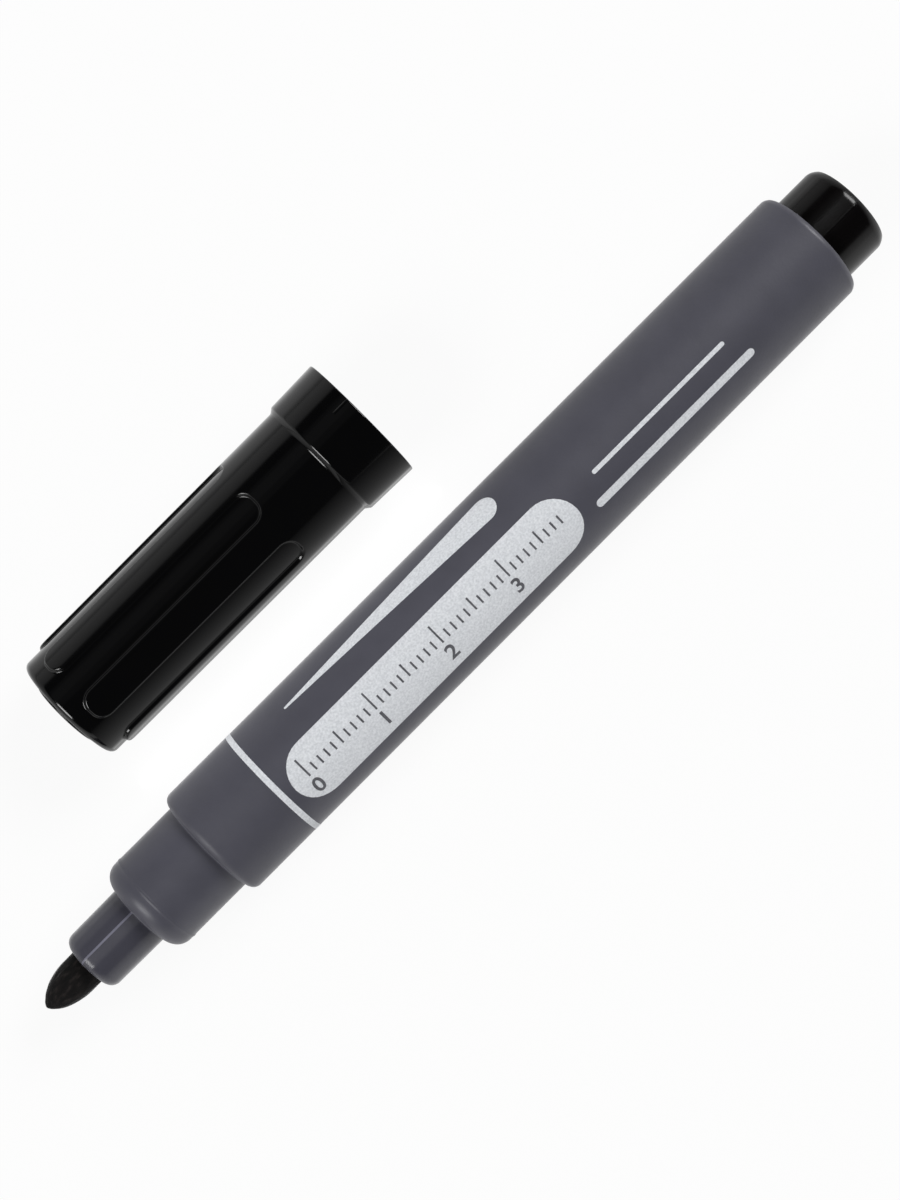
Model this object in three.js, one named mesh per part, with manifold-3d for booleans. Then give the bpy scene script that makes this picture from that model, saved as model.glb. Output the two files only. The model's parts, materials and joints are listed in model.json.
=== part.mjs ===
// A round permanent marker, uncapped, with its cap lying beside it.
// Millimetres, +Z up. The marker lies along X with its nib at the -X end, and both pieces rest on z = 0.
import * as THREE from "three";
import { mergeVertices } from "three/addons/utils/BufferGeometryUtils.js";
import Module from "manifold-3d";

const wasm = await Module();
wasm.setup();

// Facets of the turned pieces. A multiple of four keeps a corner at the top and at the bottom.
const SIDES = 48;
const FINE_SIDES = 24;
const ARC_STEPS = 4;
// A round edge takes at most this share of the step that it softens.
const EDGE_SHARE = 0.92;

// Barrel, neck and nozzle, which are one moulding
const barrelRadius = 7.0;
const barrelLength = 92.9;
const barrelWall = 1.32;
const shoulderStep = 1.21;
const shoulderFillet = 1.0;
const rearChamfer = 0.5;
const neckLength = 10.45;
const neckWall = 1.1;
const neckFrontWall = 1.4;
const neckFillet = 1.9;
const beadHeight = 0.04;
const beadWidth = 0.6;
const beadSetback = 1.95;
const nozzleRadius = 3.675;
const nozzleLength = 7.9;
const nozzleFillet = 1.15;
const nozzleDraft = THREE.MathUtils.degToRad(0.35);

// Ribs inside the barrel that hold the filler on the axis
const ribCount = 6;
const ribThickness = 0.8;
const ribLength = 68;
const ribRoot = 0.3;

// Nib, filler and film
const nibRadius = 2.23;
const nibExposed = 6.4;
const nibTaper = 5.0;
const nibBluntness = 0.45;
const nibShoulder = 1.5;
const nibInFiller = 8.0;
const nibEndChamfer = 0.3;
const filmThickness = 0.15;
const filmSetback = 0.3;

// Rear plug
const plugExposed = 6.05;
const plugSeat = 9.0;
const plugEndWall = 1.5;
const plugWall = 1.2;
const plugFillet = 0.6;

// Cap shell
const capLength = 45.13;
const skirtDepth = 6.75;
const skirtWall = 0.77;
const bandStep = 0.45;
const bandChamfer = 0.4;
const bandDraft = THREE.MathUtils.degToRad(1.35);
const mouthFillet = 0.45;
const capEndWall = 1.5;
const capEndFillet = 0.6;
const capDraft = THREE.MathUtils.degToRad(0.17);

// Tongues and grooves round the cap. Each pair shares one turn evenly.
const tongueCount = 6;
const grooveDepth = 0.4;
const tongueSetback = 2.36;
const grooveLength = 30.5;
const grooveCorner = 1.6;

// Seal cup inside the cap
const sealWall = 1.0;
const sealFloor = 1.2;
const sealShoulder = 0.55;
const sealLipClearance = 1.6;
const sealLipChamfer = 0.4;
const bossHeight = 0.47;
const bossChamfer = 0.15;

// Clearances
const nibClearance = 0.1;
const fillerClearance = 0.05;
const filmClearance = 0.075;
const plugClearance = 0.075;
const skirtClearance = 0.1;
const capNeckClearance = 0.125;
const sealClearance = 0.05;
const bossClearance = 0.1;
const seatGap = 0.3;

// Where the cap lies: the gap beside the barrel, and how far its closed end is behind the nib's tip
const capGap = 6.3;
const capBehindTip = 24.27;
// How far the lying cap is turned round its own axis, towards the marker
const capTurn = THREE.MathUtils.degToRad(6.5);

// Radii that follow
const barrelBore = barrelRadius - barrelWall;
const neckRadius = barrelRadius - shoulderStep;
const neckBore = neckRadius - neckWall;
const nozzleRoot = nozzleRadius + nozzleLength * Math.tan(nozzleDraft);
const nozzleBore = nibRadius + nibClearance;
const filmRadius = neckBore - filmClearance;
const fillerRadius = filmRadius - filmThickness - fillerClearance;
const plugRadius = barrelBore - plugClearance;
const skirtBore = barrelRadius + skirtClearance;
const bandRadius = skirtBore + skirtWall;
const bandFoot = bandRadius - skirtDepth * Math.tan(bandDraft);
const capBore = neckRadius + capNeckClearance;
const sealBore = nozzleRoot + sealClearance;
const sealRadius = sealBore + sealWall;
const bossRadius = sealRadius - sealShoulder;
const bossHole = bossRadius + bossClearance;

// The middle of the first tongue. Before the cap's turn, one edge of that tongue is at the top.
const tonguePitch = (2 * Math.PI) / tongueCount;
const firstTongue = tonguePitch / 4 + capTurn;

// Stations along the marker, and along the cap from its closed end
const markerLength = nibExposed + nozzleLength + neckLength + barrelLength + plugExposed;
const tipX = -markerLength / 2;
const nozzleX = tipX + nibExposed;
const neckX = nozzleX + nozzleLength;
const shoulderX = neckX + neckLength;
const rearX = shoulderX + barrelLength;
const plugEndX = rearX + plugExposed;
const fillerX = neckX + neckFrontWall + seatGap;
const plugFrontX = rearX - plugSeat;
const fillerEndX = plugFrontX - seatGap;
const nibEndX = fillerX + nibInFiller;
const bandX = capLength - skirtDepth;
const sealLipX = bandX - neckLength - sealLipClearance;

// Places across the floor, with the pair centred on y = 0
const pairWidth = 2 * barrelRadius + capGap + 2 * bandRadius;
const markerY = barrelRadius - pairWidth / 2;
const capY = pairWidth / 2 - bandRadius;

// Points of a round edge, turning about (x, r) from one angle to another, in degrees from +X towards +r.
function roundEdge(x, r, radius, from, to) {
  const points = [];
  for (let i = 0; i <= ARC_STEPS; i += 1) {
    const angle = THREE.MathUtils.degToRad(from + ((to - from) * i) / ARC_STEPS);
    points.push([x + radius * Math.cos(angle), r + radius * Math.sin(angle)]);
  }
  return points;
}

// A piece turned about the X axis. The profile lists [x, r] along its outside towards +X and back inside.
function turned(profile, sides = SIDES) {
  const points = profile.map(([x, r]) => new THREE.Vector2(r, x));
  return new THREE.LatheGeometry(points, sides).rotateZ(-Math.PI / 2);
}

// A closed profile ends on the point that it starts from.
function ring(profile, sides = SIDES) {
  return turned([...profile, profile[0]], sides);
}

function toSolid(geometry) {
  const shape = new THREE.BufferGeometry();
  const source = geometry.index ? geometry.toNonIndexed() : geometry;
  shape.setAttribute("position", source.getAttribute("position"));
  const merged = mergeVertices(shape, 1e-4);
  const vertProperties = merged.attributes.position.array;
  const triVerts = new Uint32Array(merged.index.array);
  return new wasm.Manifold(new wasm.Mesh({ numProp: 3, vertProperties, triVerts }));
}

function toGeometry(solid) {
  const mesh = solid.getMesh();
  const geometry = new THREE.BufferGeometry();
  geometry.setAttribute("position", new THREE.BufferAttribute(mesh.vertProperties, 3));
  geometry.setIndex(new THREE.BufferAttribute(mesh.triVerts, 1));
  const flat = geometry.toNonIndexed();
  flat.computeVertexNormals();
  return flat;
}

function barrelProfile() {
  const nozzleEdge = Math.min(nozzleFillet, (nozzleRadius - nozzleBore) * EDGE_SHARE);
  const neckEdge = Math.min(neckFillet, (neckRadius - nozzleRoot) * EDGE_SHARE);
  const shoulderEdge = Math.min(shoulderFillet, shoulderStep * EDGE_SHARE);
  const beadX = neckX + beadSetback;
  const boreX = shoulderX + barrelWall;
  return [
    [nozzleX, nozzleBore],
    ...roundEdge(nozzleX + nozzleEdge, nozzleRadius - nozzleEdge, nozzleEdge, 180, 90),
    [neckX, nozzleRoot],
    ...roundEdge(neckX + neckEdge, neckRadius - neckEdge, neckEdge, 180, 90),
    [beadX, neckRadius],
    [beadX + beadWidth / 2, neckRadius + beadHeight],
    [beadX + beadWidth, neckRadius],
    [shoulderX, neckRadius],
    ...roundEdge(shoulderX + shoulderEdge, barrelRadius - shoulderEdge, shoulderEdge, 180, 90),
    [rearX - rearChamfer, barrelRadius],
    [rearX, barrelRadius - rearChamfer],
    [rearX, barrelBore],
    [boreX, barrelBore],
    [boreX, neckBore],
    [neckX + neckFrontWall, neckBore],
    [neckX + neckFrontWall, nozzleBore],
  ];
}

// One rib stands on the bore's wall, from the neck's bore back along the barrel.
function barrelRib(angle) {
  const inner = neckBore;
  const outer = barrelBore + ribRoot;
  const startX = shoulderX + barrelWall - ribRoot;
  const rib = new THREE.BoxGeometry(ribLength + ribRoot, ribThickness, outer - inner);
  rib.translate(startX + (ribLength + ribRoot) / 2, 0, (inner + outer) / 2);
  return rib.rotateX(angle);
}

function makeBarrel() {
  let solid = toSolid(ring(barrelProfile()));
  for (let i = 0; i < ribCount; i += 1) {
    solid = solid.add(toSolid(barrelRib((i * 2 * Math.PI) / ribCount)));
  }
  return toGeometry(solid);
}

function makeRearPlug() {
  const cupRadius = plugRadius - plugWall;
  return turned([
    [plugEndX - plugEndWall, 0],
    [plugEndX - plugEndWall, cupRadius],
    [plugFrontX, cupRadius],
    [plugFrontX, plugRadius],
    ...roundEdge(plugEndX - plugFillet, plugRadius - plugFillet, plugFillet, 90, 0),
    [plugEndX, 0],
  ]);
}

function makeNib() {
  const tip = new THREE.CubicBezierCurve(
    new THREE.Vector2(tipX, 0),
    new THREE.Vector2(tipX, nibBluntness),
    new THREE.Vector2(tipX + nibShoulder, nibRadius),
    new THREE.Vector2(tipX + nibTaper, nibRadius),
  );
  const profile = tip.getPoints(2 * ARC_STEPS).map((point) => [point.x, point.y]);
  profile.push([nibEndX - nibEndChamfer, nibRadius]);
  profile.push([nibEndX, nibRadius - nibEndChamfer]);
  profile.push([nibEndX, 0]);
  return turned(profile, FINE_SIDES);
}

function makeFiller() {
  const holeRadius = nibRadius + nibClearance;
  const holeEndX = nibEndX + seatGap;
  return turned(
    [
      [holeEndX, 0],
      [holeEndX, holeRadius],
      [fillerX, holeRadius],
      [fillerX, fillerRadius],
      [fillerEndX, fillerRadius],
      [fillerEndX, 0],
    ],
    FINE_SIDES,
  );
}

function makeFillerFilm() {
  const inner = filmRadius - filmThickness;
  return ring(
    [
      [fillerX + filmSetback, inner],
      [fillerX + filmSetback, filmRadius],
      [fillerEndX - filmSetback, filmRadius],
      [fillerEndX - filmSetback, inner],
    ],
    FINE_SIDES,
  );
}

// The raised level of the cap narrows towards the closed end by the mould's draft.
function raisedRadius(x) {
  return bandFoot - bandStep - (bandX - x) * Math.tan(capDraft);
}

function grooveRadius(x) {
  return raisedRadius(x) - grooveDepth;
}

// The cap at the level of the groove floors, with its band, its bores and the hole in its closed end
function capFloorProfile() {
  return [
    [0, bossHole],
    ...roundEdge(capEndFillet, grooveRadius(capEndFillet) - capEndFillet, capEndFillet, 180, 90),
    [bandX, grooveRadius(bandX)],
    [bandX, raisedRadius(bandX)],
    [bandX + bandChamfer, bandFoot],
    ...roundEdge(capLength - mouthFillet, bandRadius - mouthFillet, mouthFillet, 90, 0),
    [capLength, skirtBore],
    [bandX, skirtBore],
    [bandX, capBore],
    [capEndWall, capBore],
    [capEndWall, bossHole],
  ];
}

// The raised level before its grooves are cut, rooted halfway into the wall under it
function capRaisedProfile() {
  const root = (capBore + grooveRadius(0)) / 2;
  return [
    [tongueSetback, root],
    [tongueSetback, raisedRadius(tongueSetback)],
    [bandX, raisedRadius(bandX)],
    [bandX, root],
  ];
}

// The outline that is cut away from one tongue's middle to the next: [x, angle], with the angle in radians.
function grooveOutline() {
  const radius = raisedRadius(grooveLength / 2);
  const wall = tonguePitch / 4;
  const corner = Math.min(grooveCorner, radius * wall);
  const half = [[-capEndWall, 0], [tongueSetback, 0]];
  for (let i = 0; i <= ARC_STEPS; i += 1) {
    const turn = ((Math.PI / 2) * i) / ARC_STEPS;
    const x = tongueSetback + corner * (1 - Math.cos(turn));
    half.push([x, wall - (corner * (1 - Math.sin(turn))) / radius]);
  }
  for (let i = 0; i <= ARC_STEPS; i += 1) {
    const turn = ((Math.PI / 2) * i) / ARC_STEPS;
    const x = grooveLength - corner * (1 - Math.sin(turn));
    half.push([x, wall + (corner * (1 - Math.cos(turn))) / radius]);
  }
  const mirrored = half.map(([x, angle]) => [x, tonguePitch - angle]).reverse();
  return [...half, ...mirrored];
}

// A block with radial walls over an outline, starting at the given angle round the X axis
function radialBlock(outline, startAngle, inner, outer) {
  const contour = outline.map(([x, angle]) => new THREE.Vector2(x, angle));
  const faces = THREE.ShapeUtils.triangulateShape(contour, []);
  const corner = ([x, angle], radius) => {
    const turn = startAngle + angle;
    return [x, -radius * Math.sin(turn), radius * Math.cos(turn)];
  };
  const positions = [];
  const triangle = (a, b, c) => positions.push(...a, ...b, ...c);
  for (const [a, b, c] of faces) {
    triangle(corner(outline[a], inner), corner(outline[b], inner), corner(outline[c], inner));
    triangle(corner(outline[a], outer), corner(outline[c], outer), corner(outline[b], outer));
  }
  outline.forEach((start, i) => {
    const end = outline[(i + 1) % outline.length];
    triangle(corner(start, inner), corner(start, outer), corner(end, inner));
    triangle(corner(end, inner), corner(start, outer), corner(end, outer));
  });
  const geometry = new THREE.BufferGeometry();
  geometry.setAttribute("position", new THREE.Float32BufferAttribute(positions, 3));
  return geometry;
}

function makeCapShell() {
  const outline = grooveOutline();
  const blockInner = capBore / 2;
  const blockOuter = 2 * bandRadius;
  let raised = toSolid(ring(capRaisedProfile()));
  for (let i = 0; i < tongueCount; i += 1) {
    const block = radialBlock(outline, firstTongue + i * tonguePitch, blockInner, blockOuter);
    raised = raised.subtract(toSolid(block));
  }
  const floor = toSolid(ring(capFloorProfile()));
  return toGeometry(floor.add(raised));
}

function makeCapSeal() {
  const flangeX = capEndWall + seatGap;
  return turned([
    [-bossHeight, 0],
    [-bossHeight, bossRadius - bossChamfer],
    [-bossHeight + bossChamfer, bossRadius],
    [flangeX, bossRadius],
    [flangeX, sealRadius],
    [sealLipX - sealLipChamfer, sealRadius],
    [sealLipX, sealRadius - sealLipChamfer],
    [sealLipX, sealBore],
    [flangeX + sealFloor, sealBore],
    [flangeX + sealFloor, 0],
  ]);
}

function plastic(color, roughness) {
  return new THREE.MeshStandardMaterial({ color, roughness, metalness: 0 });
}

function addPiece(group, name, geometry, material) {
  const mesh = new THREE.Mesh(geometry, material);
  mesh.name = name;
  group.add(mesh);
}

// The cap lies on its band and on the ends of its tongues, so its closed end dips a little.
function restCap(cap) {
  const lowX = tongueSetback + grooveCorner;
  const lowRadius = raisedRadius(lowX) * Math.cos(capTurn);
  const slope = (x, r) => Math.atan((r - lowRadius) / (x - lowX));
  const dip = Math.max(slope(bandX + bandChamfer, bandFoot), slope(capLength - mouthFillet, bandRadius));
  cap.rotation.y = -dip;
  cap.position.set(tipX + capBehindTip, capY, 0);
  cap.updateMatrixWorld(true);
  cap.position.z = -new THREE.Box3().setFromObject(cap, true).min.z;
}

const marker = new THREE.Group();
marker.position.set(0, markerY, barrelRadius);
addPiece(marker, "barrel", makeBarrel(), plastic(0x3a4048, 0.55));
addPiece(marker, "rear_plug", makeRearPlug(), plastic(0x17181a, 0.2));
addPiece(marker, "nib", makeNib(), plastic(0x101114, 0.95));
addPiece(marker, "ink_filler", makeFiller(), plastic(0x1c1e24, 1.0));
addPiece(marker, "filler_film", makeFillerFilm(), plastic(0xb9bdc2, 0.3));

const cap = new THREE.Group();
addPiece(cap, "cap_shell", makeCapShell(), plastic(0x17181a, 0.2));
addPiece(cap, "cap_seal", makeCapSeal(), plastic(0x1a1b1d, 0.3));
restCap(cap);

const permanentMarker = new THREE.Group();
permanentMarker.add(marker, cap);
export default permanentMarker;
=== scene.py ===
# A round permanent marker lying uncapped beside its cap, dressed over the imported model.
# Metres. The marker lies along X with its nib at the -X end, and both pieces rest on z = 0.
import json
import math
import bmesh
import bpy
from mathutils import Matrix, Vector, noise


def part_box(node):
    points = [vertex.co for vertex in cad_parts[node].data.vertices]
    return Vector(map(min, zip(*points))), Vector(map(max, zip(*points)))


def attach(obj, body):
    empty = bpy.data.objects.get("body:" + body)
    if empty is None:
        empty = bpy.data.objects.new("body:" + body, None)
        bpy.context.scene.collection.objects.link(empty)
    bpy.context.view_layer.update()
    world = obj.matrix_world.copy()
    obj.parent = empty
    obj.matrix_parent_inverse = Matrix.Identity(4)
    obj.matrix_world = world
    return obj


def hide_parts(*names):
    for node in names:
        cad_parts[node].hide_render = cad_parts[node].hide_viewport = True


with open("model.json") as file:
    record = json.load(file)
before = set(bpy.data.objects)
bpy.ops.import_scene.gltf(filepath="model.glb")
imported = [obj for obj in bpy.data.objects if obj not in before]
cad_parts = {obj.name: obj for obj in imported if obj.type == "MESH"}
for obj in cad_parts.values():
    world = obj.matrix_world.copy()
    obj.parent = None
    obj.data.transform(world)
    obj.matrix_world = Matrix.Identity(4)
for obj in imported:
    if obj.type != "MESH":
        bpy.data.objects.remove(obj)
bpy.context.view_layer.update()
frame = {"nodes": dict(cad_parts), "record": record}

MM = 0.001

# The photograph's camera, fitted to the outlines of marker and cap
CAMERA_PLACE = Vector((-8.43, -16.55, 272.43)) * MM
CAMERA_PITCH = math.radians(-1.26)
CAMERA_TILT = math.radians(1.874)
CAMERA_TURN = math.radians(45.015)
CAMERA_LENS = 73.03
CAMERA_CLIP = 10 * MM

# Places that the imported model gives
NIB_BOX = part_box("nib")
BARREL_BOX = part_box("barrel")
PLUG_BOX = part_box("rear_plug")
TIP_X = NIB_BOX[0].x
NIB_END_X = NIB_BOX[1].x
NOZZLE_X = BARREL_BOX[0].x
REAR_X = BARREL_BOX[1].x
PLUG_FRONT_X = PLUG_BOX[0].x
PLUG_END_X = PLUG_BOX[1].x
BARREL_RADIUS = (BARREL_BOX[1].z - BARREL_BOX[0].z) / 2
PLUG_RADIUS = (PLUG_BOX[1].z - PLUG_BOX[0].z) / 2
NIB_RADIUS = (NIB_BOX[1].z - NIB_BOX[0].z) / 2
MARKER_Y = (BARREL_BOX[0].y + BARREL_BOX[1].y) / 2
MARKER_Z = (BARREL_BOX[0].z + BARREL_BOX[1].z) / 2
CAP_MOUNT = next(mount for mount in frame["record"]["mounts"] if mount["name"] == "cap_end")

# Printed ink stands this much above the plastic, and reaches as far under its surface.
INK = 0.015 * MM

# Barrel, neck and nozzle
BODY_RADIUS = BARREL_RADIUS - INK
BARREL_BORE = 5.68 * MM
SHOULDER_FILLET = 1.0 * MM
REAR_RIM_LENGTH = 0.6 * MM
REAR_RIM_DEPTH = 0.25 * MM
REAR_RIM_CORNER = 0.1 * MM
NOZZLE_LENGTH = 7.9 * MM
NOZZLE_RADIUS = 3.675 * MM
NOZZLE_ROOT = 3.723 * MM
NOZZLE_FILLET = 1.15 * MM
NOZZLE_BORE = 2.33 * MM
NECK_LENGTH = 10.45 * MM
NECK_RADIUS = 5.79 * MM
NECK_BORE = 4.69 * MM
NECK_FILLET = 1.9 * MM
NECK_FRONT_WALL = 1.4 * MM
SHOULDER_WALL = 1.32 * MM
INNER_CORNER = 0.12 * MM
BEAD_HEIGHT = 0.06 * MM
BEAD_WIDTH = 0.6 * MM
BEAD_SETBACK = 2.2 * MM
NECK_X = NOZZLE_X + NOZZLE_LENGTH
SHOULDER_X = NECK_X + NECK_LENGTH

# The fine parting lines on the nozzle and on the rear plug, as small real ridges. The middle share of the
# nozzle's line also gets a painted highlight, a lighter colour.
PARTING_ANGLE = math.radians(-10.3)
PARTING_HALF_ANGLE = math.radians(3.8)
PARTING_HEIGHT = 0.025 * MM
PARTING_HIGHLIGHT_SHARE = 0.6
PLUG_LINE_ANGLE = math.radians(6)
PLUG_LINE_HALF_ANGLE = math.radians(1.3)
PLUG_LINE_HEIGHT = 0.03 * MM

# Ribs inside the barrel
RIB_COUNT = 6
RIB_THICKNESS = 0.8 * MM
RIB_LENGTH = 68 * MM
RIB_ROOT = 0.3 * MM
RIB_BEVEL = 0.08 * MM

# Nib
NIB_TAPER = 5.0 * MM
NIB_SHOULDER = 1.5 * MM
NIB_BLUNTNESS = 0.45 * MM
NIB_CHAMFER = 0.3 * MM

# The nib's fibres: how deep their pattern is cut in, its cycles per metre, and its shift inwards
FIBRE_DEPTH = 0.05 * MM
FIBRES_ALONG = 500
FIBRES_ACROSS = 2600
FIBRE_SHIFT = 0.25

# Rear plug
PLUG_END_WALL = 1.5 * MM
PLUG_WALL = 1.2 * MM
PLUG_EDGE_LENGTH = 1.0 * MM
PLUG_EDGE_DEPTH = 0.42 * MM
PLUG_EDGE_CORNER = 0.12 * MM

# Cap, measured along its axis from the closed end
CAP_LENGTH = 45.13 * MM
CAP_DRAFT = math.tan(math.radians(0.17))
SKIRT_DEPTH = 6.75 * MM
SKIRT_BORE = 7.1 * MM
BAND_RADIUS = 7.864 * MM
BAND_DRAFT = math.tan(math.radians(1.35))
BAND_STEP = 0.45 * MM
BAND_CHAMFER = 0.5 * MM
BAND_EDGE = 0.12 * MM
MOUTH_FILLET = 0.15 * MM
CAP_BORE = 5.915 * MM
CAP_END_WALL = 1.5 * MM
CAP_END_FILLET = 0.75 * MM
BAND_X = CAP_LENGTH - SKIRT_DEPTH
BAND_FOOT = BAND_RADIUS - SKIRT_DEPTH * BAND_DRAFT

# Tongues and grooves round the cap
TONGUE_COUNT = 6
TONGUE_PITCH = 2 * math.pi / TONGUE_COUNT
CAP_TURN = math.radians(5.8)
FIRST_TONGUE = TONGUE_PITCH / 4 + CAP_TURN
TONGUE_SETBACK = 2.36 * MM
TONGUE_CORNER = 1.6 * MM
GROOVE_DEPTH = 0.4 * MM
GROOVE_LENGTH = 30.5 * MM
WALL_SLOPE = math.radians(58)
WALL_FILLET = 0.2 * MM

# The small raised mark that the mould leaves on the band
MOULD_MARK_ANGLE = math.radians(-12)
MOULD_MARK_LENGTH = 2.0 * MM
MOULD_MARK_WIDTH = 0.35 * MM
MOULD_MARK_HEIGHT = 0.08 * MM
MOULD_MARK_STEPS = 12
MOULD_MARK_FADE_STEPS = 3

# Seal cup inside the cap
BOSS_HEIGHT = 0.47 * MM
BOSS_RADIUS = 4.223 * MM
BOSS_CHAMFER = 0.15 * MM
BOSS_HOLE = 4.323 * MM
SEAL_BORE = 3.773 * MM
SEAL_RADIUS = 4.773 * MM
SEAL_FLANGE_X = 1.8 * MM
SEAL_FLOOR = 1.2 * MM
SEAL_LIP_X = 26.33 * MM
SEAL_LIP_CHAMFER = 0.4 * MM

# Print on the barrel: places along X, heights round the barrel from its top line, up towards +Y
RING_X = -27.24 * MM
RING_WIDTH = 0.7 * MM
LABEL_START_X = -25.8 * MM
LABEL_END_X = 16.53 * MM
LABEL_HEIGHT = -2.6 * MM
LABEL_HALF_WIDTH = 3.6 * MM
WEDGE_START_X = -20.65 * MM
WEDGE_END_X = 11.0 * MM
WEDGE_HEIGHT = 4.9 * MM
WEDGE_THIN = 0.3 * MM
WEDGE_THICK = 3.2 * MM
STROKES = (
    (20.33 * MM, 40.19 * MM, -1.05 * MM, 0.5 * MM),
    (18.36 * MM, 42.11 * MM, -4.1 * MM, 1.0 * MM),
)

# The ruler on the label
RULER_MILLIMETRES = 38
RULER_START_X = -23.63 * MM
TICK_WIDTH = 0.22 * MM
TICK_SHORT = 1.1 * MM
TICK_MIDDLE = 1.7 * MM
TICK_LONG = 2.4 * MM
DIGIT_HEIGHT = 1.9 * MM
DIGIT_DROP = 0.5 * MM
DIGIT_BOLDNESS = 0.018

# The grey of the barrel's plastic
BARREL_COLOR = (0.0652, 0.0648, 0.083)

# The cards between marker and cap. A glow is a share of a card's height and the light there.
CARD_START_X = -38.5 * MM
CARD_END_X = 8.5 * MM
CARD_TOP = 15.8 * MM
CARD_BRIGHTEST = 2
CAP_CARD_Y = -0.7 * MM
CAP_CARD_GLOWS = ((0, 1.45), (0.15, 1.25), (0.29, 0.58), (0.5, 0.48), (0.68, 0.34), (1, 0.07))
BARREL_CARD_Y = -1.1 * MM
BARREL_CARD_GLOWS = ((0, 1.2), (0.13, 0.78), (1, 0.5))

# The room: its light by height over the horizon, the lean of its walls and the change of light towards +Y
ROOM_GLOWS = ((0.0, 0.64), (0.2, 0.52), (0.36, 0.38), (0.42, 0.024), (1.0, 0.024))
ROOM_LEAN = -0.085
ROOM_CHANGE = -0.25

# The floor: how white each kind of ray sees it, and the painted shade that reflections see on it from -Y
# to +Y, darkest under the cap and far behind it
FLOOR_HALF = 3.0
FLOOR_WHITE = {"Is Camera Ray": 0.92, "Is Glossy Ray": 0.64, "Is Transmission Ray": 0.92}
FLOOR_SHADE_REACH = 160 * MM
FLOOR_REFLECTED_SHADE = (
    (0.35, 0.0),
    (0.44, 0.08),
    (0.49, 0.35),
    (0.54, 0.46),
    (0.567, 0.0),
    (0.6, 0.4),
    (0.7, 0.37),
    (1.0, 0.82),
)

# The lamps: their distance, and an area lamp's energy for each unit of its radiance and area
LAMP_DISTANCE = 1.1
LAMP_ENERGY = 4

# How finely round shapes are cut
ARC_STEPS = 8
BODY_SIDES = 240
NIB_SIDES = 96
NIB_STEPS = 40
WRAP_STEP = 0.4 * MM
SUPPORT = 0.12 * MM
LINE_CLEARANCE = 0.007

# How finely the cap is cut at walls and between them, and at, before and between the ends of its tongues
WALL_STEP = 0.035 * MM
LEVEL_STEP = 0.1 * MM
TONGUE_END_STEP = 0.06 * MM
CAP_END_STEP = 0.15 * MM
TONGUE_STEP = 2.4 * MM
WALL_MARGIN = 1.3
TONGUE_END_MARGIN = 1.2


class Axis:
    """The axis of a turned piece. Angles run from its upper side towards -Y."""

    def __init__(self, origin, along, up):
        self.origin = origin
        self.along = along
        self.up = up
        self.side = up.cross(along)

    def point(self, x, radius, angle):
        """The point at x along the axis, at a radius and an angle round it."""
        across = self.up * math.cos(angle) - self.side * math.sin(angle)
        return self.origin + self.along * x + across * radius


def cap_axis():
    """The cap's axis, from the middle of its closed end, which is just inside the boss's flat face."""
    along = -Vector(CAP_MOUNT["axis"])
    side = Vector((0, 1, 0))
    origin = Vector(CAP_MOUNT["pos_m"]) + along * BOSS_HEIGHT
    return Axis(origin, along, along.cross(side))


MARKER = Axis(Vector((0, MARKER_Y, MARKER_Z)), Vector((1, 0, 0)), Vector((0, 0, 1)))
CAP = cap_axis()


def even_angles(count):
    """Angles evenly round a circle."""
    return [2 * math.pi * i / count for i in range(count)]


def arc(x, r, radius, start, end, steps=ARC_STEPS):
    """Points of a round edge about (x, r), between two angles in degrees from +X towards +r."""
    points = []
    for i in range(steps + 1):
        angle = math.radians(start + (end - start) * i / steps)
        points.append((x + radius * math.cos(angle), r + radius * math.sin(angle)))
    return points


def supported(profile, closed=True):
    """The profile with a point near both ends of each long straight stretch, which keeps its shading flat.

    A closed profile has such a stretch from its last point to its first, too."""
    points = []
    for i, (x, r) in enumerate(profile):
        points.append((x, r))
        if i == len(profile) - 1 and not closed:
            break
        next_x, next_r = profile[(i + 1) % len(profile)]
        length = math.hypot(next_x - x, next_r - r)
        if length > 4 * SUPPORT and max(r, next_r) > 0:
            for share in (SUPPORT / length, 1 - SUPPORT / length):
                points.append((x + (next_x - x) * share, r + (next_r - r) * share))
    return points


def turned_mesh(name, axis, profile, angles):
    """A closed surface turned about an axis.

    The profile runs along the outside towards +X and back inside. A radius is a number or a function of
    the angle, and a radius of zero is one point on the axis."""
    vertices = []
    rings = []
    for x, radius in profile:
        if radius == 0:
            rings.append([len(vertices)] * len(angles))
            vertices.append(axis.point(x, 0, 0))
            continue
        rings.append(range(len(vertices), len(vertices) + len(angles)))
        for angle in angles:
            vertices.append(axis.point(x, radius(angle) if callable(radius) else radius, angle))
    faces = []
    for i, ring in enumerate(rings):
        following = rings[(i + 1) % len(rings)]
        for j in range(len(angles)):
            k = (j + 1) % len(angles)
            corners = [ring[j], ring[k], following[k], following[j]]
            unique = list(dict.fromkeys(corners))
            if len(unique) > 2:
                faces.append(unique)
    mesh = bpy.data.meshes.new(name)
    mesh.from_pydata(vertices, [], faces)
    return mesh


def add_piece(mesh, body, materials, sharp_angle=38, replaced=()):
    """Adds a mesh as a piece of the object, riding on a body and taking its finish from a slot."""
    for material in materials:
        mesh.materials.append(material)
    mesh.polygons.foreach_set("use_smooth", [True] * len(mesh.polygons))
    mesh.set_sharp_from_angle(angle=math.radians(sharp_angle))
    piece = bpy.data.objects.new(mesh.name, mesh)
    bpy.context.collection.objects.link(piece)
    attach(piece, body)
    if replaced:
        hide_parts(*replaced)
    return piece


# Materials


def new_shader(name, color, roughness):
    """A material with its Principled shader, whose colour and roughness are plain."""
    material = bpy.data.materials.new(name)
    material.use_nodes = True
    shader = material.node_tree.nodes["Principled BSDF"]
    shader.inputs["Base Color"].default_value = (*color, 1)
    shader.inputs["Roughness"].default_value = roughness
    return material, material.node_tree, shader


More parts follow.
